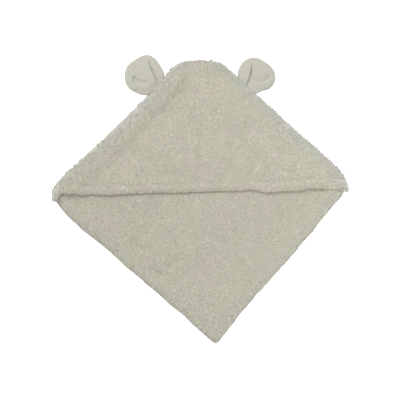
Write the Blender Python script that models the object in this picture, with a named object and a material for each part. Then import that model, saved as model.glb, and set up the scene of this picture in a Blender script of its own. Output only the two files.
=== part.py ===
"""Hooded baby towel, folded in quarters and laid flat with its hood uppermost.

The towel is one square of terry cloth. Two folds bring it to a quarter of its area, so four layers
lie on each other. Folded cloth has a fold on its two lower sides and free edges on its two upper
sides. The hood is a second, three-cornered cloth, sewn over the corner where the free edges meet, and
open along its hemmed mouth. Two wadded ears stand out of the hood's seam.

The cloth is drawn in a flat pattern first: u runs from the front fold (u = 0) and v from the side
fold (v = 0), both in metres. lay() then puts the pattern where the cloth lies, a little out of square.
"""

import math

import bmesh
import bpy
from mathutils import Matrix, Vector

for old in list(bpy.data.objects):
    bpy.data.objects.remove(old, do_unlink=True)

# ---- Driving dimensions, in metres ------------------------------------------------------------
TOWEL_SIDE = 0.750
QUARTER = TOWEL_SIDE / 2
CORNER_RADIUS = 0.078          # the towel's four corners are rounded to the crown of a head

CLOTH = 0.0036                 # one layer of terry, lightly pressed
LAYER_GAP = 0.0012             # pile meeting pile between two layers
FOLD_GAP = 0.0020              # the same between the two halves, where the towel opens
HEM_HEIGHT = 0.0060            # the mouth hem is turned twice
HEM_WIDTH = 0.0150
TOUCH = 0.0003                 # clearance between solids that touch

# Where the folded square's corners lie, seen from above
FRONT_CORNER = Vector((0.0300, -0.2650))
RIGHT_CORNER = Vector((0.2680, 0.0150))
LEFT_CORNER = Vector((-0.2680, 0.0080))
CROWN_CORNER = Vector((0.0000, 0.2790))
TIP_RADIUS = 0.006             # the folded square's own tips

# Heights of the layers' undersides, from the surface up
LAYER_4 = 0.0
LAYER_3 = LAYER_4 + CLOTH + LAYER_GAP
FOLD_PLANE = LAYER_3 + CLOTH + FOLD_GAP / 2
LAYER_2 = FOLD_PLANE + FOLD_GAP / 2
LAYER_1 = LAYER_2 + CLOTH + LAYER_GAP
HOOD = LAYER_1 + CLOTH + LAYER_GAP

# The front fold, whose axis lies a little inside the fold's outermost line
FRONT_BEND_RADIUS = FOLD_PLANE
FOLD_AXIS_U = 0.0050
LAYERS_START_U = FRONT_BEND_RADIUS + TOUCH
BEND_CLOTH = CLOTH - 2 * TOUCH
BEND_STEPS = 10

# The mouth hem's middle, which lifts, reaches this far each way along the mouth
MOUTH_HALF = 0.165

# Thread
THREAD_WIDTH = 0.0010
THREAD_HEIGHT = 0.0005
SEAM_INSET = 0.0080            # the hood's seam, inside the free edges
EDGE_STITCH_INSET = 0.0100     # the towel's own hem, inside the free edges
STITCH_FROM_TIP = 0.030        # where both lines start, along the edge from the folded square's tips
MOUTH_STITCH_UP = 0.0125       # the mouth hem's line, above the mouth

# Ears: a disc cut off straight where it is sewn in
EAR_RADIUS = 0.0360
EAR_HALF_HEIGHT = 0.0060
EAR_CENTRE_OUT = 0.0260        # from the hinge line to the disc's centre
EAR_START_OUT = 0.0030         # from the hinge line to the ear's own base
EAR_CLOTH = 0.0018
EAR_FACE_GAP = 0.0010          # between the two cloths, where their seam runs
EAR_MIDDLE = LAYER_1 + CLOTH + LAYER_GAP / 2
EAR_AXIS_HEIGHT = HOOD + CLOTH + 0.0004
EAR_BASES = {
    "left": (Vector((-0.0805, 0.2010)), math.radians(135.0)),
    "right": (Vector((0.0830, 0.2005)), math.radians(48.0)),
}
EAR_ROOT_HALF = 0.0240         # the ear's raw edges, caught in the hood's seam
EAR_ROOT_IN = 0.0055
EAR_ROOT_OUT = 0.0016
EAR_ROOT_HEIGHT = LAYER_GAP - 2 * TOUCH
EAR_AROUND = 48
EAR_RINGS = 7

# Care label, sewn into an edge between the folded halves
LABEL_WIDTH = 0.030
LABEL_LENGTH = 0.045
LABEL_THICKNESS = 0.0004
LABEL_FROM_FOLD = 0.120
LABEL_EDGE_INSET = 0.002

ARC_STEPS = 14


# ---- The flat pattern and how it lies ----------------------------------------------------------
def lay(u, v):
    """The place, seen from above, of a point of the folded square's pattern."""
    across = u / QUARTER
    along = v / QUARTER
    near = FRONT_CORNER.lerp(RIGHT_CORNER, across)
    far = LEFT_CORNER.lerp(CROWN_CORNER, across)
    return near.lerp(far, along)


def arc(centre, radius, start, end, steps):
    """Points on an arc in the pattern, with its angles in degrees."""
    points = []
    for step in range(steps + 1):
        angle = math.radians(start + (end - start) * step / steps)
        points.append((centre[0] + radius * math.cos(angle), centre[1] + radius * math.sin(angle)))
    return points


def crown_arc(inset):
    """The rounded crown corner at a distance inside the edge, from the right side to the left."""
    middle = QUARTER - CORNER_RADIUS
    return arc((middle, middle), CORNER_RADIUS - inset, 0, 90, ARC_STEPS)


def free_edges(inset, start):
    """A line along both free edges, at a distance inside them, starting this far from each tip."""
    side = QUARTER - inset
    return [(side, start)] + crown_arc(inset) + [(start, side)]


def mouth_point(along, up):
    """A point of the pattern: along the mouth from its middle (left is minus) and up into the hood."""
    u = (QUARTER + math.sqrt(2) * (up + along)) / 2
    v = (QUARTER + math.sqrt(2) * (up - along)) / 2
    return (u, v)


# ---- Materials ------------------------------------------------------------------------------
def material(name, colour, roughness):
    made = bpy.data.materials.new(name)
    made.use_nodes = True
    shader = made.node_tree.nodes["Principled BSDF"]
    shader.inputs["Base Color"].default_value = (*colour, 1.0)
    shader.inputs["Roughness"].default_value = roughness
    shader.inputs["Metallic"].default_value = 0.0
    made.diffuse_color = (*colour, 1.0)
    return made


TERRY = ("terry", (0.52, 0.49, 0.40), 0.95)
HEM = ("hem", (0.55, 0.51, 0.42), 0.92)
EAR_PLUSH = ("ear_plush", (0.56, 0.53, 0.44), 0.90)
THREAD = ("thread", (0.60, 0.57, 0.48), 0.70)
WADDING = ("wadding", (0.85, 0.84, 0.80), 1.00)
LABEL = ("label", (0.88, 0.87, 0.83), 0.60)


# ---- Solids ---------------------------------------------------------------------------------
def finish(name, mesh_maker, look, parent, smooth=False):
    """Put a bmesh into an object with a material of its own, under the empty that carries it."""
    bmesh.ops.recalc_face_normals(mesh_maker, faces=mesh_maker.faces)
    mesh = bpy.data.meshes.new(name)
    mesh_maker.to_mesh(mesh)
    mesh_maker.free()
    mesh.transform(parent.matrix_world.inverted())
    if smooth:
        mesh.shade_smooth()
        mesh.set_sharp_from_angle(angle=math.radians(40))
    made = bpy.data.objects.new(name, mesh)
    bpy.context.scene.collection.objects.link(made)
    made.parent = parent
    made.data.materials.append(material(f"{name}_{look[0]}", look[1], look[2]))
    return made


def carrier(name, place, turn=0.0):
    """An empty on a joint's axis, which the joint's pieces are parented to."""
    empty = bpy.data.objects.new(name, None)
    empty.matrix_world = Matrix.Translation(place) @ Matrix.Rotation(turn, 4, "Z")
    bpy.context.scene.collection.objects.link(empty)
    return empty


def plate(corners, height):
    """A flat face through these points, extruded upwards."""
    maker = bmesh.new()
    face = maker.faces.new([maker.verts.new(corner) for corner in corners])
    grown = bmesh.ops.extrude_face_region(maker, geom=[face])
    raised = [item for item in grown["geom"] if isinstance(item, bmesh.types.BMVert)]
    bmesh.ops.translate(maker, verts=raised, vec=(0, 0, height))
    return maker


def slab(name, outline, low, height, look, parent):
    """A flat piece: an outline of the pattern, laid down at a height and given its thickness."""
    maker = plate([(*lay(u, v), low) for u, v in outline], height)
    return finish(name, maker, look, parent)


def thicken(made, thickness):
    solidify = made.modifiers.new("cloth thickness", "SOLIDIFY")
    solidify.thickness = thickness
    solidify.offset = 0.0
    solidify.use_even_offset = True
    solidify.use_quality_normals = True
    return made


def half_of_towel(name, low, high, look, parent):
    """Two layers that are one cloth: the side fold joins them along v = 0."""
    radius = (high - low) / 2
    bend_v = radius + CLOTH / 2
    middle = (high + low) / 2
    maker = bmesh.new()
    rows = []
    for step in range(BEND_STEPS + 1):
        angle = math.pi * (0.5 + step / BEND_STEPS)
        v = bend_v + radius * math.cos(angle)
        height = middle + radius * math.sin(angle)
        rows.append([maker.verts.new((*lay(u, v), height)) for u in (LAYERS_START_U, QUARTER)])
    for one, other in zip(rows, rows[1:]):
        maker.faces.new((one[0], one[1], other[1], other[0]))
    for row, height in ((rows[0], high), (rows[-1], low)):
        outline = crown_arc(0.0) + [(LAYERS_START_U, QUARTER)]
        rest = [maker.verts.new((*lay(u, v), height)) for u, v in outline]
        maker.faces.new([row[0], row[1]] + rest)
    return thicken(finish(name, maker, look, parent), CLOTH)


def front_bend(name, low, high, look, parent):
    """The cloth of one pair of layers where it turns round the front fold."""
    radius = (high - low) / 2
    maker = bmesh.new()
    rows = []
    for step in range(BEND_STEPS + 1):
        angle = math.pi * (0.5 + step / BEND_STEPS)
        u = FRONT_BEND_RADIUS + radius * math.cos(angle)
        height = FOLD_PLANE + radius * math.sin(angle)
        ends = (FRONT_BEND_RADIUS, QUARTER)
        rows.append([maker.verts.new((*lay(u, v), height)) for v in ends])
    for one, other in zip(rows, rows[1:]):
        maker.faces.new((one[0], one[1], other[1], other[0]))
    return thicken(finish(name, maker, look, parent), BEND_CLOTH)


def thread_line(name, inset, low, parent):
    """A row of stitches as one thin strip along both free edges."""
    outer = free_edges(inset - THREAD_WIDTH / 2, STITCH_FROM_TIP)
    inner = free_edges(inset + THREAD_WIDTH / 2, STITCH_FROM_TIP)
    return slab(name, outer + inner[::-1], low, THREAD_HEIGHT, THREAD, parent)


def turned_disc(rings, around):
    """A profile turned round Z. The profile runs from the axis out and back to the axis."""
    maker = bmesh.new()
    poles = [maker.verts.new((0, 0, rings[0][1])), maker.verts.new((0, 0, rings[-1][1]))]
    circles = []
    for radius, height in rings[1:-1]:
        circle = []
        for step in range(around):
            angle = 2 * math.pi * step / around
            circle.append(maker.verts.new((radius * math.cos(angle), radius * math.sin(angle), height)))
        circles.append(circle)
    for step in range(around):
        after = (step + 1) % around
        maker.faces.new((poles[0], circles[0][step], circles[0][after]))
        maker.faces.new((poles[1], circles[-1][after], circles[-1][step]))
        for one, other in zip(circles, circles[1:]):
            maker.faces.new((one[step], other[step], other[after], one[after]))
    return maker


def dome(radius, height, base):
    """Points of a flattened quarter round, from the axis out to the rim."""
    points = []
    for step in range(EAR_RINGS + 1):
        angle = math.radians(90 * step / EAR_RINGS)
        points.append((radius * math.sin(angle), base + height * math.cos(angle)))
    return points


def cut_base(maker, out):
    """Cut an ear piece off straight at a distance from the hinge line, and close the cut."""
    plane = Vector((0, out - EAR_CENTRE_OUT, 0))
    everything = maker.verts[:] + maker.edges[:] + maker.faces[:]
    cut = bmesh.ops.bisect_plane(maker, geom=everything, plane_co=plane, plane_no=(0, 1, 0),
                                 clear_inner=True)
    rim = [item for item in cut["geom_cut"] if isinstance(item, bmesh.types.BMEdge)]
    bmesh.ops.edgeloop_fill(maker, edges=rim)


def place_ear(maker, parent):
    """From the disc's own middle, with Y pointing out of the hood, to where the ear lies."""
    lift = EAR_MIDDLE - EAR_AXIS_HEIGHT
    move = parent.matrix_world @ Matrix.Translation((0, EAR_CENTRE_OUT, lift))
    maker.transform(move)


def ear_root(side, axis, parent):
    """The strip of the ear that the hood's seam holds, between the hood and the towel."""
    low = HOOD - LAYER_GAP + TOUCH - EAR_AXIS_HEIGHT
    corners = [(-EAR_ROOT_HALF, -EAR_ROOT_IN, low), (EAR_ROOT_HALF, -EAR_ROOT_IN, low),
               (EAR_ROOT_HALF, EAR_ROOT_OUT, low), (-EAR_ROOT_HALF, EAR_ROOT_OUT, low)]
    maker = plate(corners, EAR_ROOT_HEIGHT)
    maker.transform(axis.matrix_world)
    finish(f"ear_{side}_root", maker, EAR_PLUSH, parent)


def ear(side, parent):
    """Two dished cloths sewn together round their rim, with a wad of stuffing between them."""
    base, outward = EAR_BASES[side]
    place = (base.x, base.y, EAR_AXIS_HEIGHT)
    axis = carrier(f"ear_{side}_axis", place, outward - math.pi / 2)
    ear_root(side, axis, parent)
    half_gap = EAR_FACE_GAP / 2
    inside = (EAR_RADIUS - EAR_CLOTH, EAR_HALF_HEIGHT - EAR_CLOTH - half_gap)
    outer = dome(EAR_RADIUS, EAR_HALF_HEIGHT - half_gap, half_gap)
    inner = dome(inside[0], inside[1], half_gap)
    for face, up in (("front", 1), ("back", -1)):
        profile = [(radius, up * height) for radius, height in outer + inner[::-1]]
        maker = turned_disc(profile, EAR_AROUND)
        cut_base(maker, EAR_START_OUT)
        place_ear(maker, axis)
        finish(f"ear_{side}_{face}", maker, EAR_PLUSH, axis, smooth=True)
    wad_radius = inside[0] - TOUCH * 2
    wad_height = inside[1] + half_gap - TOUCH * 2
    top = dome(wad_radius, wad_height, 0.0)
    bottom = [(radius, -height) for radius, height in top[:-1]]
    maker = turned_disc(top + bottom[::-1], EAR_AROUND)
    cut_base(maker, EAR_START_OUT + TOUCH)
    place_ear(maker, axis)
    finish(f"ear_{side}_wadding", maker, WADDING, axis, smooth=True)
    seam_radius = EAR_RADIUS - EAR_CLOTH / 2
    chord = math.degrees(math.asin((EAR_START_OUT + TOUCH - EAR_CENTRE_OUT) / seam_radius))
    half = THREAD_WIDTH / 2 - TOUCH / 2
    outline = arc((0, 0), seam_radius + half, chord, 180 - chord, EAR_AROUND)
    outline += arc((0, 0), seam_radius - half, chord, 180 - chord, EAR_AROUND)[::-1]
    maker = plate([(x, y, -THREAD_HEIGHT / 2) for x, y in outline], THREAD_HEIGHT)
    place_ear(maker, axis)
    finish(f"ear_{side}_rim_seam", maker, THREAD, axis)


def mouth_band(low, high):
    """A stretch of the mouth, between two heights above it, cut square across at both ends."""
    return [mouth_point(-MOUTH_HALF, low), mouth_point(MOUTH_HALF, low),
            mouth_point(MOUTH_HALF, high), mouth_point(-MOUTH_HALF, high)]


def hem_tip(sign):
    """The end of the mouth hem, from its middle piece to the folded square's tip."""
    near = sign * (MOUTH_HALF + TOUCH)
    edge = HEM_WIDTH * math.sqrt(2)
    tip = TIP_RADIUS
    if sign > 0:
        return [mouth_point(near, 0), (QUARTER - tip, tip), (QUARTER, tip * 2), (QUARTER, edge),
                mouth_point(near, HEM_WIDTH)]
    return [mouth_point(near, HEM_WIDTH), (edge, QUARTER), (tip * 2, QUARTER),
            (tip, QUARTER - tip), mouth_point(near, 0)]


# ---- The towel, its hood and its ears -----------------------------------------------------------
centre = Vector((0, 0, 0))
towel_front = carrier("towel_front_carrier", centre)
fold_at = lay(FOLD_AXIS_U, QUARTER / 2)
towel_back = carrier("fold_axis", (fold_at.x, fold_at.y, FOLD_PLANE))
mouth_at = lay(*mouth_point(0, HEM_WIDTH / 2))
mouth = carrier("hood_mouth_guide", (mouth_at.x, mouth_at.y, HOOD))
bpy.context.view_layer.update()

mid = CLOTH / 2
half_of_towel("towel_front_half", LAYER_2 + mid, LAYER_1 + mid, TERRY, towel_front)
half_of_towel("towel_back_half", LAYER_4 + mid, LAYER_3 + mid, TERRY, towel_back)
front_bend("front_fold_outer", LAYER_4 + mid, LAYER_1 + mid, TERRY, towel_front)
front_bend("front_fold_inner", LAYER_3 + mid, LAYER_2 + mid, TERRY, towel_front)
thread_line("edge_stitching_front", EDGE_STITCH_INSET, LAYER_1 - LAYER_GAP + TOUCH, towel_front)
thread_line("edge_stitching_back", EDGE_STITCH_INSET, LAYER_3 - LAYER_GAP + TOUCH, towel_back)

panel_foot = (HEM_WIDTH + TOUCH) * math.sqrt(2)
slab("hood_panel", free_edges(0.0, panel_foot), HOOD, CLOTH, TERRY, towel_front)
thread_line("hood_seam_stitching", SEAM_INSET, HOOD - LAYER_GAP + TOUCH, towel_front)
slab("mouth_hem_left_end", hem_tip(-1), HOOD, HEM_HEIGHT, HEM, towel_front)
slab("mouth_hem_right_end", hem_tip(1), HOOD, HEM_HEIGHT, HEM, towel_front)
slab("mouth_hem_middle", mouth_band(0, HEM_WIDTH), HOOD, HEM_HEIGHT, HEM, mouth)
stitches = mouth_band(MOUTH_STITCH_UP - THREAD_WIDTH / 2, MOUTH_STITCH_UP + THREAD_WIDTH / 2)
slab("mouth_hem_stitching", stitches, HOOD + HEM_HEIGHT + TOUCH, THREAD_HEIGHT, THREAD, mouth)

label_top = QUARTER - LABEL_EDGE_INSET
label_side = LABEL_FROM_FOLD + LABEL_WIDTH
label = [(LABEL_FROM_FOLD, label_top - LABEL_LENGTH), (label_side, label_top - LABEL_LENGTH),
         (label_side, label_top), (LABEL_FROM_FOLD, label_top)]
slab("care_label", label, LAYER_3 + CLOTH + TOUCH, LABEL_THICKNESS, LABEL, towel_back)

for side in EAR_BASES:
    ear(side, towel_front)
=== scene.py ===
# %% [markdown]
# # A hooded baby towel, folded in four
# The imported part gives the fixed frame: four layers of towel, a hood with its mouth hem, and
# two ears, each on its own body. Every cloth in it is a plain flat solid. This script makes
# the cloth itself, and ties only the care label to the body that moves it.

import math

import bpy
import numpy as np
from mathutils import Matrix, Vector


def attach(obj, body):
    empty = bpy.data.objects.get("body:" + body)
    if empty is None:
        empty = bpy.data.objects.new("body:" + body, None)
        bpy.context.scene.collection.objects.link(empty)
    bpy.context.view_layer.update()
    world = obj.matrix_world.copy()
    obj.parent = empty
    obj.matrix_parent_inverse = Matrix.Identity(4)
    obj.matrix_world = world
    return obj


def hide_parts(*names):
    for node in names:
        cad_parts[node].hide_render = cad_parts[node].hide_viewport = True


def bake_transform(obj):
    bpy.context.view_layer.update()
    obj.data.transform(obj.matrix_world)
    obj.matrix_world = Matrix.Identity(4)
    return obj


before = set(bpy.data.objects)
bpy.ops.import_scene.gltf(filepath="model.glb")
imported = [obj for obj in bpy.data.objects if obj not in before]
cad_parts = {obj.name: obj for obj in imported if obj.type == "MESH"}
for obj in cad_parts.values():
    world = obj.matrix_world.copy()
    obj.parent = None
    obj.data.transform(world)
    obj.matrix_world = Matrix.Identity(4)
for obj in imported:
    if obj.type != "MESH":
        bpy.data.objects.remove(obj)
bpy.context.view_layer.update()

# %% [markdown]
# ## Camera, floor and light
# The towel lies flat and the camera looks straight down on it, from far enough away that the
# two-centimetre stack shows hardly any of its sides. The light is one big soft lamp at the
# upper left over a bright, even sky, because pile is read from gentle shade and a hard lamp
# would turn it to gravel. The floor glows a little, so that it stays near white and only the
# faintest shadow gathers round the cloth.

# %% Camera, floor and light
scene = bpy.context.scene
scene.view_settings.view_transform = "Standard"
scene.view_settings.look = "None"

bpy.ops.object.camera_add(location=(0.0, -0.0027, 1.703), rotation=(0, 0, 0))
camera = bpy.context.object
camera.name = "camera"
camera.data.lens = 85
camera.data.sensor_width = 36
camera.data.dof.use_dof = False
scene.camera = camera


def lamp(name, place, size, power, tint):
    """A square soft lamp that looks at the middle of the towel."""
    bpy.ops.object.light_add(type="AREA", location=place)
    light = bpy.context.object
    light.name = name
    light.data.size = size
    light.data.energy = power
    light.data.color = tint
    light.rotation_euler = Vector(place).to_track_quat("Z", "Y").to_euler()
    return light


lamp("key", (-2.05, 2.45, 2.8), 1.8, 104, (1.0, 0.985, 0.96))
lamp("fill", (0.55, -0.02, 1.2), 0.7, 6.0, (0.95, 0.98, 1.0))

world = bpy.data.worlds.new("studio")
world.use_nodes = True
sky = world.node_tree.nodes["Background"]
sky.inputs["Color"].default_value = (0.97, 0.985, 1.0, 1)
sky.inputs["Strength"].default_value = 0.62
scene.world = world

bpy.ops.object.select_all(action="DESELECT")
bpy.ops.mesh.primitive_plane_add(size=24, location=(0, 0, -0.0006))
floor = bpy.context.object
floor.name = "floor"
paper = bpy.data.materials.new("paper")
paper.use_nodes = True
paper_shader = paper.node_tree.nodes["Principled BSDF"]
for socket, value in (
    ("Base Color", (0.8, 0.8, 0.8, 1)), ("Roughness", 0.9),
    ("Emission Color", (1, 1, 1, 1)), ("Emission Strength", 0.62),
):
    paper_shader.inputs[socket].default_value = value
floor.data.materials.append(paper)
print("camera", round(camera.location.z, 3), "m above the floor")

# %% [markdown]
# ## The pattern, and where it goes
# A folded towel is easiest to make as a map. Each point of the cloth has a place `u, v` in the
# square that the folded stack covers: `u` runs from the front fold to the upper right edge and
# `v` from the side fold to the upper left edge. One function takes `u, v` to the table. It
# rounds the corners, lets the edges bulge and waver as cloth does, and every layer, the hood,
# the pile and the stitches go through it, so nothing drifts away from what it lies on.

# %% The map from the pattern to the table
QUARTER = 0.375  # side of the folded square
CLOTH = 0.0022  # the woven ground; its pile stands on both sides
INSET = 0.0012  # the ground stops short of the outline, and the pile fills it
DIAGONAL = QUARTER / math.sqrt(2)
FRONT, RIGHT = np.array((0.0300, -0.2650)), np.array((0.2680, 0.0150))
LEFT, CROWN = np.array((-0.2680, 0.0080)), np.array((0.0000, 0.2790))
SECOND_LAYER, TOP_LAYER = 0.0128, 0.0176  # heights of the two upper layers' middles
FOLD_HEIGHT = 0.0100
SIDE_BEND, FRONT_BEND = 0.0024, 0.0052  # radii of the side fold's and the front fold's bend
SIDE_AXIS, FRONT_AXIS = 0.0042, 0.0094  # how far inside the folded edge each one turns


def bump(x, middle, width):
    """1 at the middle, fading to 0 on both sides."""
    return np.exp(-(((x - middle) / width) ** 2))


def ease(x, low, high):
    """0 below low, 1 above high, and smooth between."""
    t = np.clip((x - low) / (high - low), 0, 1)
    return t * t * (3 - 2 * t)


def waves(seed, shortest, longest, count=22):
    """A smooth seeded random surface over x, y in metres, mostly between -1.5 and 1.5."""
    rng = np.random.default_rng(seed)
    length = rng.uniform(shortest, longest, count)
    turn, start = rng.uniform(0, 2 * np.pi, (2, count))
    kx, ky = 2 * np.pi * np.cos(turn) / length, 2 * np.pi * np.sin(turn) / length

    def field(x, y):
        total = np.zeros(np.broadcast(x, y).shape)
        for a, b, c in zip(kx, ky, start, strict=True):
            total += np.sin(a * x + b * y + c)
        return total * math.sqrt(2 / count)

    return field


swell = waves(3, 0.07, 0.16)
waver = waves(5, 0.022, 0.06)
# How far each corner's rounding reaches, as a share of the side.
ROUND = {"crown": 0.231, "front": 0.030, "left": 0.050, "right": 0.070}
ROUND_HOOD = {"crown": 0.231, "front": 0.030, "left": 0.050, "right": 0.024}


def round_corner(p, q, to_p, to_q, reach):
    """Press the corner (to_p, to_q) of the unit square into a quarter circle."""
    x = ((p if to_p else 1 - p) - 1 + reach) / reach
    y = ((q if to_q else 1 - q) - 1 + reach) / reach
    both = (x > 0) & (y > 0)
    cx, cy = np.clip(x, 0, 1), np.clip(y, 0, 1)
    x, y = np.where(both, x * np.sqrt(1 - cy**2 / 2), x), np.where(both, y * np.sqrt(1 - cx**2 / 2), y)
    p2, q2 = x * reach + 1 - reach, y * reach + 1 - reach
    return (p2 if to_p else 1 - p2), (q2 if to_q else 1 - q2)


def humps(at, given):
    """A soft curve made of a few humps, each with its height, middle and width."""
    return sum(height * bump(at, middle, width) for height, middle, width in given)


# How each edge swells out of the straight line, along shares of its length. Both folds run from
# the front corner, and both open edges end at the crown.
SWELLS = {
    "front_fold": [(0.0050, 0.55, 0.25), (0.0090, 0.84, 0.14)],
    "side_fold": [(-0.0050, 0.26, 0.24), (-0.0042, 0.95, 0.35)],
    "upper_left": [(0.0042, 0.12, 0.14), (-0.0018, 0.60, 0.20), (0.0060, 0.86, 0.07)],
    "upper_right": [(0.0110, 0.12, 0.20), (0.0055, 0.45, 0.25), (0.0050, 0.87, 0.07)],
}


def table(u, v, corners=ROUND):
    """Where a point of the pattern lies on the table: x and y."""
    p = 0.5 + (u / QUARTER - 0.5) * (1 - 2 * INSET / QUARTER)
    q = 0.5 + (v / QUARTER - 0.5) * (1 - 2 * INSET / QUARTER)
    for corner, to_p, to_q in (("crown", 1, 1), ("front", 0, 0), ("left", 0, 1), ("right", 1, 0)):
        p, q = round_corner(p, q, to_p, to_q, corners[corner])
    rough_u, rough_v = waver(v, 0.0) * 0.0004, waver(0.0, u) * 0.0004
    right, front = humps(q, SWELLS["upper_right"]), humps(q, SWELLS["front_fold"])
    left, side = humps(p, SWELLS["upper_left"]), humps(p, SWELLS["side_fold"])
    shift_p = (right + rough_u) * p**2 - (front + rough_u) * (1 - p) ** 2
    shift_q = (left + rough_v) * q**2 - (side + rough_v) * (1 - q) ** 2
    p, q = p + shift_p / QUARTER, q + shift_q / QUARTER
    near = FRONT + p[..., None] * (RIGHT - FRONT)
    far = LEFT + p[..., None] * (CROWN - LEFT)
    place = near + q[..., None] * (far - near)
    return place[..., 0], place[..., 1]


print("crown corner on the table:", np.round(table(np.array([QUARTER]), np.array([QUARTER])), 4).ravel())

# %% [markdown]
# The flat square is folded twice, and the second fold goes round the first, so its bend is wide
# enough for two layers. Soft dents are taken off the height last, as a hand leaves them.

# %% Folding the towel
def settle(x, y, z):
    """The stack lies a little thicker here and thinner there; the floor side stays flat."""
    return z * (1 + 0.045 * np.clip(swell(x, y), -1.8, 1.8))


def turn_over(run, bend, axis):
    """Bend a line of cloth in two round its zero: the place across the stack, and the height."""
    turn = np.clip(run / bend, -np.pi / 2, np.pi / 2)
    past = np.maximum(np.abs(run) - bend * np.pi / 2, 0)
    across = axis - bend * np.cos(turn) + past * (QUARTER - axis) / (QUARTER - bend * np.pi / 2)
    return across, bend * np.sin(turn)


def fold(s, t):
    """Where a point of the flat towel goes in the stack: u, v and height.
    s and t run from -QUARTER to QUARTER. The towel is folded along t = 0, then along s = 0."""
    v, height = turn_over(t, SIDE_BEND, SIDE_AXIS)
    u, height = turn_over(s, FRONT_BEND + height, FRONT_AXIS)
    return u, v, FOLD_HEIGHT + height


# Soft dents in the cloth, each along a short line: start, end, width and depth.
TOWEL_HOLLOWS = [
    ((-0.048, -0.112), (-0.052, -0.122), 0.007, 0.0036),
    ((-0.085, -0.128), (-0.068, -0.140), 0.006, 0.0034),
    ((-0.118, -0.080), (-0.105, -0.094), 0.007, 0.0032),
    ((0.010, -0.070), (0.045, -0.085), 0.010, 0.0018),
    ((-0.235, -0.004), (-0.175, -0.014), 0.022, 0.0024),
]
HOOD_HOLLOWS = [
    ((0.008, 0.150), (0.000, 0.030), 0.007, 0.0022),
    ((0.060, 0.120), (0.104, 0.058), 0.008, 0.0022),
    ((0.215, 0.045), (0.235, 0.020), 0.010, 0.0025),
    ((-0.02, 0.175), (0.03, 0.185), 0.010, 0.0015),
]


def hollows(x, y, places):
    """How deep the dents are at a point of the table."""
    total = np.zeros_like(x)
    for start, stop, width, depth in places:
        start, run = np.array(start), np.array(stop) - np.array(start)
        t = np.clip(((x - start[0]) * run[0] + (y - start[1]) * run[1]) / (run @ run), 0, 1)
        gap = np.hypot(x - start[0] - t * run[0], y - start[1] - t * run[1])
        total += depth * np.exp(-((gap / width) ** 2))
    return total


def towel_place(s, t):
    """From the flat towel to the folded one on the table. The lower layers' edges waver more."""
    u, v, z = fold(s, t)
    lower = 1 - ease(z, SECOND_LAYER, TOP_LAYER)
    u = u + lower * 0.0005 * waver(v + 0.3, z * 9) * ease(u, 0.2, QUARTER)
    v = v + lower * 0.0005 * waver(z * 9, u + 0.5) * ease(v, 0.2, QUARTER)
    x, y = table(u, v)
    return np.stack([x, y, settle(x, y, z) - hollows(x, y, TOWEL_HOLLOWS) * z / TOP_LAYER], -1)


print("folded corner heights:", np.round(fold(np.array([0.3, 0.3]), np.array([0.3, -0.3]))[2], 4))


# %% [markdown]
# The hood has its own pattern: `along` runs from left to right and `up` from the mouth to the
# crown. It lies on the towel, but it is fuller than the towel is, so it stands off in a ridge
# over its turned side seam and in a soft dome at the middle. The mouth line isn't straight: it
# sags and rises by a few millimetres, and both its ends are pulled down by the seam.

# %% Laying the hood
dimples = waves(21, 0.022, 0.05)
HOOD_MIDDLE = 0.0222
HEM = 0.0150


def hood_pattern(along, up):
    """The towel's u, v under a point of the hood's pattern."""
    return (QUARTER + math.sqrt(2) * (up + along)) / 2, (QUARTER + math.sqrt(2) * (up - along)) / 2


def mouth_wave(along):
    """How far the mouth line is above the straight one: 3 mm up over the left two thirds, with a
    slight rise at the middle, then sagging to the right and down at both ends."""
    level = 0.0030 + 0.0007 * bump(along, -0.03, 0.06) - 0.0072 * ease(along, 0.05, 0.15)
    ends = 0.0021 * (1 - ease(along, -0.26, -0.19)) + 0.0050 * ease(along, 0.205, 0.275)
    return level - ends + 0.0006 * waver(along, 0.7)


def hood_puff(along, up, u, v, x, y):
    """How far the hood stands off the towel under it: a ridge over the turned seam, a valley
    inside it, and a fuller middle."""
    left, right = QUARTER - v, QUARTER - u
    strip = 0.0064 * ease(left, 0.0, 0.012) * (1 - ease(left, 0.023, 0.040))
    strip = strip * (0.40 + 0.65 * bump(u / QUARTER, 0.66, 0.20))
    strip = strip * ease(right, 0.03, 0.10) * (1 - 0.8 * ease(u / QUARTER, 0.80, 0.95))
    full = 0.0068 * ease(left, 0.042, 0.080) * ease(right, 0.0, 0.07) ** 0.7
    full = full * (0.30 + 0.70 * ease(up, 0.0, 0.08)) * (1 - 0.35 * ease(up, 0.14, 0.24))
    rolls = 0.0006 * dimples(x, y) * ease(left, 0.0, 0.03) * ease(right, 0.0, 0.03) * ease(up, 0.0, 0.03)
    press = -0.0006 * (1 - ease(np.minimum(left, right), 0.0, 0.006))
    return strip + full + rolls + press - hollows(x, y, HOOD_HOLLOWS)


def hood_place(along, up, layer=0.0):
    """From the hood's pattern to the table. layer is the height over the cloth's middle. The
    left tip is drawn down into a blunt nub, the right one is short, and the mouth lies low."""
    tip_left = ease(-along, 0.2435, 0.2500) * (1 - 0.6 * ease(-along, 0.2560, 0.2652))
    tip_right = ease(along, 0.238, 0.262)
    up = up + mouth_wave(along) * np.exp(-np.maximum(up, 0) / 0.03)
    up = up - (0.0105 * tip_left + 0.0010 * tip_right) * np.exp(-np.maximum(up, 0) / 0.02)
    along = along - 0.0016 * tip_left - 0.7 * np.maximum(along - 0.2590, 0)
    u, v = hood_pattern(along, up)
    x, y = table(u, v, ROUND_HOOD)
    z = settle(x, y, np.full_like(x, HOOD_MIDDLE)) + hood_puff(along, up, u, v, x, y) + layer
    z = z - 0.0026 * (1 - ease(up, 0.001, 0.022)) * (1 - tip_left) * (1 - tip_right)
    z = z + 0.0007 * bump(along, -0.215, 0.035) * (1 - ease(up, 0.0, 0.02))
    return np.stack([x, y, z - 0.0040 * ease(-along, 0.225, 0.262) - 0.0015 * tip_right], -1)


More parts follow.
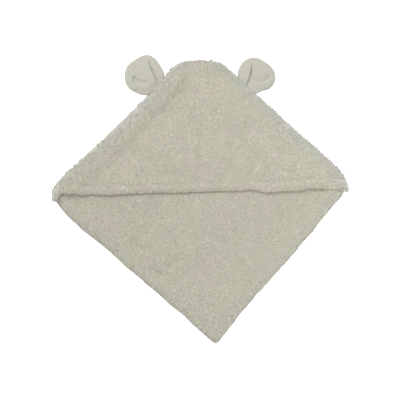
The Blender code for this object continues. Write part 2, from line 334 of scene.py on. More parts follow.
def hem_height(up):
    """The mouth's doubled hem: a rounded band that ends in the stitched groove."""
    band = 0.0013 * ease(up, -0.0005, 0.0070) * (1 - ease(up, 0.0070, 0.0156))
    return band - 0.0004 * bump(up, HEM + 0.0004, 0.0011)


def hood_lift(along, up):
    """How much of the mouth's own movement a point of the hood takes."""
    across = np.clip(1 - (along / 0.262) ** 2, 0, 1)
    return across**1.5 * (1 - ease(up, -0.01, 0.17)) * (1 - 0.2 * ease(up, 0.0, 0.05))


print("hem height in mm:", np.round(hem_height(np.array([0.004, 0.007, HEM])) * 1000, 2))

# %% [markdown]
# ## Materials
# Terry is undyed-looking cotton: one warm grey-cream that is never quite even. A node group
# holds what all the cloths share, a slow drift towards green and pink and a fine mottle at the
# size of one curl, and gives colour, roughness and height. The pile adds its own attribute:
# each curl has its own tone, with painted light that makes it a little lighter towards the right,
# and is darker at its root, where light doesn't reach.

# %% The shared cotton group
def add(tree, kind, **values):
    node = tree.nodes.new(kind)
    for name, value in values.items():
        setattr(node, name, value)
    return node


def cotton_group():
    tree = bpy.data.node_groups.new("cotton_tone", "ShaderNodeTree")
    side = tree.interface
    side.new_socket("Colour", in_out="INPUT", socket_type="NodeSocketColor")
    side.new_socket("Mottle Scale", in_out="INPUT", socket_type="NodeSocketFloat").default_value = 210
    side.new_socket("Mottle Amount", in_out="INPUT", socket_type="NodeSocketFloat").default_value = 0.16
    side.new_socket("Colour", in_out="OUTPUT", socket_type="NodeSocketColor")
    side.new_socket("Roughness", in_out="OUTPUT", socket_type="NodeSocketFloat")
    side.new_socket("Height", in_out="OUTPUT", socket_type="NodeSocketFloat")
    given, out = add(tree, "NodeGroupInput"), add(tree, "NodeGroupOutput")
    link = tree.links.new
    place = add(tree, "ShaderNodeTexCoord")
    drift = add(tree, "ShaderNodeTexNoise")
    drift.inputs["Scale"].default_value = 26
    drift.inputs["Detail"].default_value = 2
    curl = add(tree, "ShaderNodeTexNoise")
    curl.inputs["Detail"].default_value = 3
    curl.inputs["Distortion"].default_value = 1.2
    link(place.outputs["Object"], drift.inputs["Vector"])
    link(place.outputs["Object"], curl.inputs["Vector"])
    link(given.outputs["Mottle Scale"], curl.inputs["Scale"])
    hue = add(tree, "ShaderNodeValToRGB")
    hue.color_ramp.elements[0].position, hue.color_ramp.elements[1].position = 0.36, 0.64
    hue.color_ramp.elements[0].color = (0.972, 1.0, 0.955, 1)
    hue.color_ramp.elements[1].color = (1.0, 0.972, 0.968, 1)
    link(drift.outputs["Fac"], hue.inputs["Fac"])
    tinted = add(tree, "ShaderNodeMix", data_type="RGBA", blend_type="MULTIPLY")
    tinted.inputs["Factor"].default_value = 1
    link(given.outputs["Colour"], tinted.inputs["A"])
    link(hue.outputs["Color"], tinted.inputs["B"])
    centred = add(tree, "ShaderNodeMath", operation="SUBTRACT")
    centred.inputs[1].default_value = 0.5
    scaled = add(tree, "ShaderNodeMath", operation="MULTIPLY_ADD")
    scaled.inputs[2].default_value = 1.0
    link(curl.outputs["Fac"], centred.inputs[0])
    link(centred.outputs[0], scaled.inputs[0])
    link(given.outputs["Mottle Amount"], scaled.inputs[1])
    shaded = add(tree, "ShaderNodeVectorMath", operation="SCALE")
    link(tinted.outputs["Result"], shaded.inputs[0])
    link(scaled.outputs[0], shaded.inputs["Scale"])
    rough = add(tree, "ShaderNodeMapRange")
    rough.inputs["To Min"].default_value, rough.inputs["To Max"].default_value = 0.98, 0.86
    link(curl.outputs["Fac"], rough.inputs["Value"])
    link(shaded.outputs[0], out.inputs["Colour"])
    link(rough.outputs[0], out.inputs["Roughness"])
    link(curl.outputs["Fac"], out.inputs["Height"])
    return tree


COTTON = cotton_group()
print("cotton group:", len(COTTON.nodes), "nodes")

# %% [markdown]
# One function makes every cotton material from the group. The pile's three masks come from its
# `pile` attribute: red is the curl's tone, with painted light growing towards the right, green the
# way up from its root, and blue the nearness of an edge, where the curls get a painted grey shade.

# %% The cotton materials
def cotton(name, colour, mottle=210, amount=0.16, bump_by=0.0006, sheen=0.12, pile=False):
    """A cotton cloth in its colour. With pile, the curls' own tone, their root shade and a painted grey shade
    by an edge come in.
    """
    material = bpy.data.materials.new(name)
    material.use_nodes = True
    tree = material.node_tree
    link = tree.links.new
    shader = tree.nodes["Principled BSDF"]
    tone = add(tree, "ShaderNodeGroup", node_tree=COTTON)
    tone.inputs["Colour"].default_value = (*colour, 1)
    tone.inputs["Mottle Scale"].default_value = mottle
    tone.inputs["Mottle Amount"].default_value = amount
    colour_out = tone.outputs["Colour"]
    if pile:
        own = add(tree, "ShaderNodeAttribute", attribute_name="pile")
        parts = add(tree, "ShaderNodeSeparateColor")
        link(own.outputs["Color"], parts.inputs["Color"])
        # painted shade: each curl is darkened and warmed towards its root
        root = add(tree, "ShaderNodeMix", data_type="RGBA")
        root.inputs["A"].default_value, root.inputs["B"].default_value = (0.95, 0.90, 0.79, 1), (1, 1, 1, 1)
        link(parts.outputs["Green"], root.inputs["Factor"])
        root_shaded = add(tree, "ShaderNodeVectorMath", operation="MULTIPLY")
        link(colour_out, root_shaded.inputs[0])
        link(root.outputs["Result"], root_shaded.inputs[1])
        toned = add(tree, "ShaderNodeVectorMath", operation="SCALE")
        link(root_shaded.outputs[0], toned.inputs[0])
        link(parts.outputs["Red"], toned.inputs["Scale"])
        # painted shade: near an edge the curls are painted a darker, cooler grey, for the light a rounded edge
        # loses
        painted_edge_shade = add(tree, "ShaderNodeMix", data_type="RGBA", blend_type="MULTIPLY")
        painted_edge_shade.inputs["B"].default_value = (0.915, 0.938, 1.040, 1)
        link(parts.outputs["Blue"], painted_edge_shade.inputs["Factor"])
        link(toned.outputs[0], painted_edge_shade.inputs["A"])
        colour_out = painted_edge_shade.outputs["Result"]
    link(colour_out, shader.inputs["Base Color"])
    link(tone.outputs["Roughness"], shader.inputs["Roughness"])
    relief = add(tree, "ShaderNodeBump")
    relief.inputs["Strength"].default_value = 0.6
    relief.inputs["Distance"].default_value = bump_by
    link(tone.outputs["Height"], relief.inputs["Height"])
    link(relief.outputs["Normal"], shader.inputs["Normal"])
    for socket, value in (("Sheen Weight", sheen), ("Sheen Roughness", 0.5), ("Specular IOR Level", 0.15)):
        shader.inputs[socket].default_value = value
    return material


CREAM = (0.692, 0.670, 0.578)
# painted shade: the ground is painted at 0.86 of the cream, for the shadow it lies in between the curls
terry_ground = cotton("terry_ground", tuple(0.86 * c for c in CREAM), amount=0.10, bump_by=0.0012)
terry_pile = cotton("terry_pile", CREAM, pile=True, amount=0.06, bump_by=0.0001)
hem_pile = cotton("hem_pile", (0.708, 0.671, 0.588), pile=True, amount=0.05, bump_by=0.0001)
velour = cotton("ear_velour", (0.458, 0.447, 0.387), mottle=620, amount=0.06, bump_by=0.0003, sheen=0.15)
thread = cotton("cotton_thread", (0.55, 0.53, 0.445), mottle=1500, amount=0.25, bump_by=0.0002, sheen=0.1)
label_weave = cotton("label_weave", (0.80, 0.79, 0.75), mottle=1300, amount=0.2, bump_by=0.00015, sheen=0.3)

# Painted shade: the velour is painted greyer where the eye meets it at a slant, as its nap turns the light
# away there.
leaves = velour.node_tree
slant = add(leaves, "ShaderNodeLayerWeight")
slant.inputs["Blend"].default_value = 0.35
slant_shade = add(leaves, "ShaderNodeMix", data_type="RGBA", blend_type="MULTIPLY")
slant_shade.inputs["B"].default_value = (0.74, 0.79, 0.93, 1)
shown = leaves.nodes["Principled BSDF"].inputs["Base Color"]
leaves.links.new(shown.links[0].from_socket, slant_shade.inputs["A"])
leaves.links.new(slant.outputs["Facing"], slant_shade.inputs["Factor"])
leaves.links.new(slant_shade.outputs["Result"], shown)
print("materials:", [m.name for m in bpy.data.materials if m.users])

# %% [markdown]
# ## The towel
# One square of cloth, 75 cm a side, is laid out as a grid and then folded through the map. Its
# rows are close together where the bends are, and wide where the cloth only lies between other
# layers. Giving it thickness comes after the folding, as a real cloth keeps its own thickness
# round a bend.

# %% The towel's ground cloth
def only(ob):
    bpy.ops.object.select_all(action="DESELECT")
    ob.select_set(True)
    bpy.context.view_layer.objects.active = ob


def points_of(ob):
    co = np.empty(len(ob.data.vertices) * 3)
    ob.data.vertices.foreach_get("co", co)
    return co.reshape(-1, 3)


def put_points(ob, co):
    ob.data.vertices.foreach_set("co", np.ascontiguousarray(co, float).ravel())
    ob.data.update()


def rows(*runs):
    """Grid lines from (start, end, count) runs that follow each other."""
    lines = [np.linspace(a, b, n, endpoint=False) for a, b, n in runs]
    return np.concatenate([*lines, [runs[-1][1]]])


def cloth_grid(name, across, along):
    """A flat grid whose lines stand at the given places."""
    bpy.ops.object.select_all(action="DESELECT")
    bpy.ops.mesh.primitive_grid_add(
        x_subdivisions=len(across) - 1, y_subdivisions=len(along) - 1, size=2
    )
    ob = bpy.context.object
    ob.name = ob.data.name = name
    flat = points_of(ob)
    column = np.rint((flat[:, 0] + 1) / 2 * (len(across) - 1)).astype(int)
    row = np.rint((flat[:, 1] + 1) / 2 * (len(along) - 1)).astype(int)
    put_points(ob, np.stack([across[column], along[row], np.zeros(len(flat))], -1))
    return ob


def give_thickness(ob, thickness):
    only(ob)
    solid = ob.modifiers.new("thickness", "SOLIDIFY")
    solid.thickness = thickness
    solid.offset = 0
    bpy.ops.object.modifier_apply(modifier="thickness")


towel = cloth_grid(
    "towel_cloth",
    rows((-QUARTER, -0.014, 52), (-0.014, 0.014, 26), (0.014, QUARTER, 120)),
    rows((-QUARTER, -0.006, 52), (-0.006, 0.006, 14), (0.006, QUARTER, 120)),
)
flat = points_of(towel)
put_points(towel, towel_place(flat[:, 0], flat[:, 1]))
give_thickness(towel, CLOTH)
towel.data.materials.append(terry_ground)
towel.data.shade_smooth()


def follow(ob, first, second, share, spot, reach=(0, 0, -0.001)):
    """Bake the piece's transform into its points; the two bodies and the shares are not used."""
    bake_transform(ob)


def towel_share(s):
    """0 on the front half of the towel, 1 on the back half, turning through the front fold."""
    return 1 - ease(s, -0.0085, 0.0085)


share = np.tile(towel_share(flat[:, 0]), 2)  # one for each side of the thickness
follow(towel, "towel_front", "towel_back", share, (0, 0, FOLD_HEIGHT))
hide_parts("towel_front_half", "towel_back_half", "front_fold_outer", "front_fold_inner")
print("towel:", len(towel.data.polygons), "faces")

# %% [markdown]
# ## The hood
# The hood is a triangle of the same cloth. Its grid runs along the mouth, so that the hem, its
# groove and the mouth's own wavering line follow whole rows. Two straight cuts make the
# triangle, then the map lays it over the towel and the hem is raised on its upper face.

# %% The hood's ground cloth
hood = cloth_grid(
    "hood_cloth",
    rows((-0.272, 0.272, 250)),
    rows((0.0, 0.020, 20), (0.020, 0.272, 120)),
)
only(hood)
bpy.ops.object.mode_set(mode="EDIT")
for side in (-1, 1):
    bpy.ops.mesh.select_all(action="SELECT")
    bpy.ops.mesh.bisect(
        plane_co=(side * DIAGONAL, 0, 0), plane_no=(side, 1, 0), clear_outer=True, threshold=0.0004
    )
bpy.ops.mesh.select_all(action="SELECT")
bpy.ops.mesh.remove_doubles(threshold=0.0003)
bpy.ops.object.mode_set(mode="OBJECT")
flat = points_of(hood)
put_points(hood, hood_place(flat[:, 0], flat[:, 1]))
give_thickness(hood, CLOTH)
doubled = np.concatenate([flat, flat])
shape = points_of(hood)
upper = shape[:, 2] > hood_place(doubled[:, 0], doubled[:, 1])[:, 2]
shape[upper, 2] += hem_height(doubled[upper, 1])
near = 1 - ease(doubled[:, 1], 0.0, 0.004)
shape[:, 2] += np.where(upper, -0.0005, 0.0004) * near
put_points(hood, shape)
hood.data.materials.append(terry_ground)
hood.data.shade_smooth()
share = hood_lift(doubled[:, 0], doubled[:, 1])
follow(hood, "towel_front", "hood_mouth", share, (0, 0.1, HOOD_MIDDLE), (0, -0.1, 0))
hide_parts("hood_panel", "mouth_hem_left_end", "mouth_hem_right_end", "mouth_hem_middle")
print("hood:", len(hood.data.polygons), "faces, top at", round(float(shape[:, 2].max()), 4))

# %% [markdown]
# ## One curl of pile
# Terry is thousands of cotton loops that washing has bent over and tangled. One curl is
# modelled as a three-sided tube extruded, thinned and bent over to a point, and three
# bends of it are kept. A few dozen faces would be too many for something repeated tens of
# thousands of times, so each has fifteen. Between the layers, where the pile is hidden and
# pressed flat, a plainer curl with one bend and nine faces does.

# %% Model the curls
def model_curl(name, steps, tip):
    """Extrude a triangle along steps of (x, y, z, scale), then draw it to a point at tip."""
    bpy.ops.object.select_all(action="DESELECT")
    bpy.ops.mesh.primitive_circle_add(vertices=3, radius=0.00080, fill_type="NGON", location=(0, 0, 0))
    curl = bpy.context.object
    curl.name = name
    bpy.ops.object.mode_set(mode="EDIT")
    bpy.ops.mesh.select_mode(type="FACE")
    bpy.ops.mesh.select_all(action="SELECT")
    bpy.ops.transform.translate(value=(0, 0, -0.0003))
    for x, y, z, scale in steps:
        bpy.ops.mesh.extrude_region_move(TRANSFORM_OT_translate={"value": (x, y, z)})
        bpy.ops.transform.resize(value=(scale, scale, scale))
    bpy.ops.mesh.extrude_region_move(TRANSFORM_OT_translate={"value": tip})
    bpy.ops.mesh.merge(type="CENTER")
    bpy.ops.mesh.select_all(action="SELECT")
    bpy.ops.mesh.quads_convert_to_tris()
    bpy.ops.mesh.normals_make_consistent(inside=False)
    bpy.ops.object.mode_set(mode="OBJECT")
    corners = points_of(curl)
    faces = np.array([list(p.vertices) for p in curl.data.polygons])
    faces = faces[~(corners[faces][:, :, 2] < -0.0002).all(1)]  # no floor under the root
    bpy.data.objects.remove(curl)
    return corners, faces


CURLS = [
    model_curl(name, [first, second], tip)
    for name, first, second, tip in (
        ("curl_a", (0.0004, 0.0001, 0.0016, 1.15), (0.0013, 0.0003, 0.0005, 0.85), (0.0014, 0.0007, -0.0006)),
        ("curl_b", (0.0003, -0.0002, 0.0017, 1.2), (0.0012, -0.0005, 0.0006, 0.8), (0.0013, -0.0009, -0.0004)),
        ("curl_c", (0.0005, 0.0, 0.0014, 1.1), (0.0015, 0.0, 0.0004, 0.9), (0.0017, 0.0, -0.0005)),
    )
]
PRESSED = [model_curl("curl_pressed", [(0.0007, 0.0001, 0.0018, 1.1)], (0.0023, 0.0004, -0.0003))]
print("one curl:", len(CURLS[0][0]), "points,", len(CURLS[0][1]), "faces; pressed:", len(PRESSED[0][1]))

# %% [markdown]
# ## Sowing the pile
# The curls stand on the cloth in a shaken grid. Neighbours lean the same way for about a
# centimetre, and then the lean turns: that is what gives washed terry its short curled
# streaks. The lean also tips outwards near an edge, so the outline is fringed and not cut.
# Where layers lie on each other the pile is sparse and pressed flat.

# %% Sow the pile
lean_x, lean_y = waves(31, 0.005, 0.012), waves(32, 0.005, 0.012)
clump, patch = waves(33, 0.004, 0.009), waves(34, 0.012, 0.030)
FLOOR_PRESS = 0.0013  # below this height the table presses the curls flatter and flatter
CURL_TOP = 0.0021  # height of a curl before it is scaled


def mesh_piece(name, corners, faces, material):
    mesh = bpy.data.meshes.new(name)
    mesh.vertices.add(len(corners))
    mesh.vertices.foreach_set("co", np.ascontiguousarray(corners, float).ravel())
    mesh.loops.add(faces.size)
    mesh.loops.foreach_set("vertex_index", np.ascontiguousarray(faces, np.int32).ravel())
    mesh.polygons.add(len(faces))
    mesh.polygons.foreach_set("loop_start", np.arange(len(faces), dtype=np.int32) * faces.shape[1])
    mesh.update(calc_edges=True)
    mesh.shade_smooth()
    mesh.materials.append(material)
    ob = bpy.data.objects.new(name, mesh)
    scene.collection.objects.link(ob)
    return ob


def unit(vectors):
    return vectors / np.maximum(np.linalg.norm(vectors, axis=-1, keepdims=True), 1e-12)


def shaken(low_a, high_a, low_b, high_b, step, rng):
    """A hexagonal grid over a rectangle, each place shaken by a third of a step."""
    a, b = np.meshgrid(np.arange(low_a, high_a, step), np.arange(low_b, high_b, step * 0.87))
    a = a + (np.arange(a.shape[0]) % 2)[:, None] * step / 2
    shake = rng.uniform(-0.36, 0.36, (2, *a.shape)) * step
    return (a + shake[0]).ravel(), (b + shake[1]).ravel()


def frame_on(place, a, b, step=0.0004):
    """The point, and the surface's two directions and outward normal, at pattern places a, b."""
    da = place(a + step, b) - place(a - step, b)
    db = place(a, b + step) - place(a, b - step)
    return place(a, b), unit(da), unit(np.cross(da, db))


def sow(
    name, spots, normals, outward, size, height, rng, material, share, bodies,
    lift=0.0010, rim=0.0, shade=1.0, uneven=0.1, curls=CURLS,
):
    """Plant curls. outward is a push on the lean near an edge, share the blend per curl, lift
    the height of the roots, rim the mask of the painted edge shade, and shade and uneven scale the tone
    and the spread of heights."""
    n = len(spots)
    x, y = spots[:, 0], spots[:, 1]
    drift = np.stack([0.35 * lean_x(x, y) + 0.2, 0.35 * lean_y(x, y) - 0.2, np.zeros(n)], -1)
    drift += rng.normal(0, 0.85, (n, 3)) + outward * 2.2
    lean = unit(drift - normals * (drift * normals).sum(1, keepdims=True))
    side = np.cross(normals, lean)
    size = size * rng.uniform(0.82, 1.22, n) * (1 + 0.05 * clump(x, y))
    tall = height * rng.uniform(1 - uneven, 1 + uneven, n) * (1 + 0.05 * clump(y, x))
    kind = rng.integers(0, len(curls), n)
    # rim masks the painted grey edge shade
    rim = rim * np.ones(n)
    corners, faces, extra = [], [], []
    start = 0
    # random tone and patches, plus painted light: the last term lightens the curls towards the right
    tone = shade * (1 + 0.009 * rng.normal(0, 1, n) + 0.010 * patch(x, y) + 0.10 * x)
    shares = []
    for k, (points, triangles) in enumerate(curls):
        mine = kind == k
        local = points[None] * size[mine, None, None]
        up = points[None, :, 2:] * tall[mine, None, None]
        place = (
            spots[mine, None]
            + normals[mine, None] * (up + lift)
            + lean[mine, None] * local[:, :, :1]
            + side[mine, None] * local[:, :, 1:2]
        )
        low = np.minimum(place[..., 2] - FLOOR_PRESS, 0)
        place[..., 2] += FLOOR_PRESS * np.exp(low / FLOOR_PRESS) - FLOOR_PRESS - low  # pressed on the floor
        m, p = place.shape[:2]
        corners.append(place.reshape(-1, 3))
        faces.append((triangles[None] + (start + np.arange(m) * p)[:, None, None]).reshape(-1, 3))
        rise = np.tile(np.clip(points[:, 2] / CURL_TOP, 0, 1), m)
        masks = [np.repeat(tone[mine], p), rise, np.repeat(rim[mine], p), np.ones(m * p)]
        extra.append(np.stack(masks, -1))
        shares.append(np.repeat(share[mine], p))
        start += m * p
    ob = mesh_piece(name, np.concatenate(corners), np.concatenate(faces), material)
    own = ob.data.attributes.new("pile", "FLOAT_COLOR", "POINT")
    own.data.foreach_set("color", np.concatenate(extra).astype(np.float32).ravel())
    follow(ob, *bodies, np.concatenate(shares), (0, 0, 0.03))
    print(name, n, "curls,", len(ob.data.polygons), "faces")
    return ob


def edge_push(place, a, b, da, db, amount):
    """A lean away from the cloth, where an edge is near."""
    ahead = place(a + da * 0.001, b + db * 0.001) - place(a, b)
    return unit(ahead) * amount[:, None]


def near_edge(w, fold=0.45):
    """1 by a cut edge, and `fold` by a folded one, fading out inside them."""
    return np.maximum(ease(w, QUARTER - 0.017, QUARTER - 0.003), fold * (1 - ease(w, 0.004, 0.020)))


print("pressed curl:", len(PRESSED[0][0]), "points")

# %% [markdown]
# The face that shows gets the finest pile, in three strips to keep each piece light. Under the
# hood's edge it is pressed lower. The face on the table is coarser, and between the layers a
# thin scatter is enough, because it is seen only at the open sides.

# %% Sow the towel
TOWEL_BODIES, HOOD_BODIES = ("towel_front", "towel_back"), ("towel_front", "hood_mouth")


def sow_towel(name, s_range, t_range, step, size, height, seed, keep=None, shade=0.97, curls=CURLS):
    """Pile on one quarter of the towel's outer face."""
    rng = np.random.default_rng(seed)
    s, t = shaken(*s_range, *t_range, step, rng)
    inside = (np.abs(s) < QUARTER) & (np.abs(t) < QUARTER)
    if keep is not None:
        inside &= keep(s, t)
    s, t = s[inside], t[inside]
    spots, _, normals = frame_on(towel_place, s, t)
    at_s, at_t = ease(np.abs(s), QUARTER - 0.003, QUARTER), ease(np.abs(t), QUARTER - 0.003, QUARTER)
    push = edge_push(towel_place, s, t, np.sign(s), 0 * t, at_s)
    push += edge_push(towel_place, s, t, 0 * s, np.sign(t), at_t)
    normals = unit(normals + 0.55 * push)
    tall = height(s, t) if callable(height) else height
    sow(
            name, spots, normals, push, size, tall, rng, terry_pile, towel_share(s), TOWEL_BODIES,
            rim=np.maximum(near_edge(np.abs(s)), near_edge(np.abs(t))), shade=shade, curls=curls,
        )


def under_hood(s, t):
    """How far a point of the top layer is inside the hood's mouth."""
    u, v, _ = fold(s, t)
    return (u + v - QUARTER) / math.sqrt(2) - mouth_wave((u - v) / math.sqrt(2))


def open_height(s, t):
    """The pile's height on the face that shows, lower where the hood's edge presses it."""
    return 0.62 - 0.24 * ease(under_hood(s, t), -0.0004, 0.002)


FINE = 0.00160  # the distance between curls where they show
end = QUARTER + 0.001
for number, (low, high) in enumerate([(-0.008, 0.070), (0.070, 0.168), (0.168, end)]):
    sow_towel(
        f"towel_pile_open_{number + 1}", (low, high), (-0.004, end), FINE, 0.84, open_height, 40 + number,
        lambda s, t: under_hood(s, t) < 0.006,
    )
sow_towel(
    "towel_pile_pocket", (0.0, end), (0.0, end), 0.0044, 1.6, 0.30, 43, lambda s, t: under_hood(s, t) > 0.006
)
sow_towel("towel_pile_second", (0.0, end), (-end, -0.004), 0.0052, 1.7, 0.40, 44, curls=PRESSED)
sow_towel("towel_pile_third", (-end, -0.008), (-end, -0.004), 0.0052, 1.7, 0.40, 45, curls=PRESSED)
for number, (low, high) in enumerate([(-0.132, -0.008), (-0.254, -0.132), (-end, -0.254)]):
    sow_towel(
        f"towel_pile_lowest_{number + 1}", (low, high), (-0.004, end), 0.0024, 1.22, 0.42, 46 + number,
        shade=0.94,
    )

# %% [markdown]
# The hood's pile is sown the same way. On the hem it is shorter, and it leans down over the
# mouth. The raw rims of the layers get a single row that points outwards, and the mouth gets
# two uneven ones.

# %% Sow the hood and the rims
def hood_top(along, up):
    return hood_place(along, up, CLOTH / 2 + hem_height(up))


def sow_hood(name, low, high, seed, height, material, ends=(-1, 1)):
    """Pile on the hood between two heights of its pattern, and between two ends along it."""
    rng = np.random.default_rng(seed)
    a, b = shaken(-0.27, 0.27, low, high, FINE, rng)
    u, v = hood_pattern(a, b)
    inside = (u < QUARTER) & (v < QUARTER) & (b > low) & (b < high)
    inside &= (a > ends[0]) & (a < ends[1])
    a, b = a[inside], b[inside]
    u, v = hood_pattern(a, b)
    spots, _, normals = frame_on(hood_top, a, b)
    mouth = 1 - ease(b, 0.0, 0.003)
    right, left = ease(u, QUARTER - 0.004, QUARTER), ease(v, QUARTER - 0.004, QUARTER)
    one = np.ones_like(a)
    push = edge_push(hood_top, a, b, 0 * one, -one, 0.9 * mouth)
    push += edge_push(hood_top, a, b, one, one, right) + edge_push(hood_top, a, b, -one, one, left)
    normals = unit(normals + 0.55 * push)
    return sow(
        name, spots, normals, push, 0.84, height, rng, material, hood_lift(a, b), HOOD_BODIES,
        lift=-0.0001, rim=np.maximum(near_edge(u, fold=0), near_edge(v, fold=0)),
    )


hood_pile = [sow_hood("hood_hem_pile", 0.0, HEM - 0.0002, 51, 0.54, hem_pile)]
for number, ends in enumerate([(-0.27, -0.055), (-0.055, 0.055), (0.055, 0.27)]):
    name = f"hood_pile_{number + 1}"
    hood_pile.append(sow_hood(name, HEM + 0.0002, 0.27, 52 + number, 0.62, terry_pile, ends))


def sow_rim(
    name, path, seed, share, bodies, inset=0.002, size=1.0, height=0.9,
    material=terry_pile, step=0.0019, rim=1.0, uneven=0.2, stray=0.25,
):
    """A row of curls along a cloth's edge. path gives the edge, and, with an inset, a line inside
    it; the curls point from that line to the edge, and stray from it by stray."""
    rng = np.random.default_rng(seed)
    t = np.arange(0, 1, step / QUARTER)
    t = np.clip(t + rng.uniform(-0.3, 0.3, len(t)) * step / QUARTER, 0.001, 0.999)
    spots, out = path(t), unit(path(t) - path(t, inset))
    spots = spots + np.array((0, 0, 1)) * rng.uniform(-0.0008, 0.0008, len(t))[:, None]
    normals = unit(out + rng.normal(0, stray, out.shape))
    return sow(
        name, spots, normals, 0 * out, size, height, rng, material, share(t), bodies,
        lift=0.0, rim=rim, shade=0.97, uneven=uneven,
    )


for number, (sign_s, sign_t) in enumerate([(1, 1), (1, -1), (-1, -1), (-1, 1)]):
    def right_edge(t, i=0.0, a=sign_s, b=sign_t):
        return towel_place(a * (QUARTER - i) + 0 * t, b * QUARTER * t)

    def left_edge(t, i=0.0, a=sign_s, b=sign_t):
        return towel_place(a * QUARTER * t, b * (QUARTER - i) + 0 * t)

    layer = number + 1
    sow_rim(
        f"rim_right_{layer}", right_edge, 60 + number,
        lambda t, a=sign_s: towel_share(a * QUARTER + 0 * t), TOWEL_BODIES,
    )
    sow_rim(
        f"rim_left_{layer}", left_edge, 70 + number,
        lambda t, a=sign_s: towel_share(a * QUARTER * t), TOWEL_BODIES,
    )


def hood_edge(side):
    def path(t, i=0.0):
        return hood_place(side * DIAGONAL * (1 - t) - side * i, DIAGONAL * t - i)

    return path


for side, name in ((-1, "hood_rim_left"), (1, "hood_rim_right")):
    hood_pile.append(sow_rim(
        name, hood_edge(side), 80 + side,
        lambda t, a=side: hood_lift(a * DIAGONAL * (1 - t), DIAGONAL * t), HOOD_BODIES, inset=0.0015,
    ))


MOUTH_HALF = 0.264


def mouth_along(t):
    return -MOUTH_HALF + 2 * MOUTH_HALF * t


def mouth_path(t, up):
    return hood_place(mouth_along(t), 0 * t + up) + np.array((0, 0, 0.0009))


for row, rise in enumerate((-0.0008, 0.0008)):
    hood_pile.append(sow_rim(
        f"hood_mouth_fringe_{row + 1}", lambda t, up=0.0, z=rise: mouth_path(t, up) + np.array((0, 0, z)),
        90 + row, lambda t: hood_lift(mouth_along(t), 0 * t), HOOD_BODIES,
        size=0.9, height=0.8, material=hem_pile, step=FINE, rim=0.0, uneven=0.8, stray=0.6,
    ))

# %% [markdown]
# ## The hem's stitches
# One stitch is a short thread that dives into the cloth at both ends. It is modelled once and
# set end to end in the groove above the hem, pulled down a little between the curls.

# %% Stitch the hem
bpy.ops.object.select_all(action="DESELECT")
bpy.ops.mesh.primitive_cylinder_add(vertices=6, radius=0.00032, depth=0.0030, rotation=(0, math.pi / 2, 0))
stitch = bpy.context.object
bpy.ops.object.transform_apply(rotation=True)
bpy.ops.object.mode_set(mode="EDIT")
for cut in (-0.0010, -0.0004, 0.0004, 0.0010):
    bpy.ops.mesh.select_all(action="SELECT")
    bpy.ops.mesh.bisect(plane_co=(cut, 0, 0), plane_no=(1, 0, 0))
bpy.ops.mesh.select_all(action="SELECT")
bpy.ops.mesh.quads_convert_to_tris()
bpy.ops.mesh.normals_make_consistent(inside=False)
bpy.ops.object.mode_set(mode="OBJECT")
thread_points = points_of(stitch)
thread_faces = np.array([list(p.vertices) for p in stitch.data.polygons])
thread_points[:, 2] += 0.0002 - 0.0011 * (np.abs(thread_points[:, 0]) / 0.0015) ** 3
bpy.data.objects.remove(stitch)

STITCH = 0.0036
middles = np.arange(-0.240, 0.2371, STITCH)
line = np.full_like(middles, HEM + 0.0003)
spots = hood_top(middles, line)
ahead = unit(hood_top(middles + 0.001, line) - spots)
over = np.cross(ahead, np.cross(np.array((0, 0, 1.0)), ahead))
aside = np.cross(over, ahead)
stitches = (
    spots[:, None]
    + ahead[:, None] * thread_points[None, :, :1]
    + aside[:, None] * thread_points[None, :, 1:2]
    + over[:, None] * thread_points[None, :, 2:]
)
many, each = stitches.shape[:2]
stitching = mesh_piece(
    "mouth_hem_stitches",
    stitches.reshape(-1, 3),
    (thread_faces[None] + (np.arange(many) * each)[:, None, None]).reshape(-1, 3),
    thread,
)
share = np.repeat(hood_lift(middles, np.full_like(middles, HEM)), each)
follow(stitching, "towel_front", "hood_mouth", share, (0, 0, 0.03))
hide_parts("mouth_hem_stitching")
print("stitches:", many)

# %% [markdown]
# ## The ears
# Each ear is a small stuffed disc, sewn flat at its base into the seam between the hood and the
# towel. A disc is cut straight at the base, remeshed, and blown up by cloth simulation with
# its base held. Then the tuck is pressed in: a fold on the crown's side that lies over the
# face, and a softer dent under it.

# %% The two ears' measures
# radius and rim: a round disc in millimetres, and the humps and hollows of its edge by the angle
# in degrees from the ear's outward direction. tuck and dent: their lines on the table.
EARS = {
    "left": {
        "base": (-0.0805, 0.2010),
        "outward": 135,
        "radius": 36.0,
        "rim": [(-2.6, -104, 18), (2.2, -58, 18), (-2.5, -10, 22), (1.0, 76, 22), (-1.6, 114, 16)],
        "tuck": [(-0.0928, 0.2470), (-0.0918, 0.2400), (-0.0870, 0.2290), (-0.0788, 0.2110)],
        "dent": [(-0.1165, 0.2140), (-0.1150, 0.2085), (-0.0990, 0.2062)],
        "deep": 0.0044,
    },
    "right": {
        "base": (0.0830, 0.2005),
        "outward": 48,
        "radius": 34.0,
        "rim": [(-3.0, -118, 16), (2.0, -66, 26), (-5.2, 10, 36)],
        "tuck": [(0.0880, 0.2410), (0.0908, 0.2350), (0.0900, 0.2280), (0.0862, 0.2120), (0.0842, 0.2070)],
        "dent": [(0.1215, 0.2150), (0.1150, 0.2075), (0.0950, 0.2085)],
        "deep": 0.0030,
    },
}
EAR_MIDDLE = 0.0200
EAR_OUT = 0.0260  # from the ear's base to the disc's middle
EAR_HALF = 0.0062  # half of the ear's greatest thickness
EAR_RADIUS = 0.0350
for side, facts in EARS.items():
    print(side, "ear: about", 2 * facts["radius"], "mm across")

# %% [markdown]
# Two helpers measure the ear against lines. The first finds a point's distance from a tuck or a
# dent. The second finds its distance from the hood's outline, because the ear is thin where it
# goes into the seam there and full outside it.

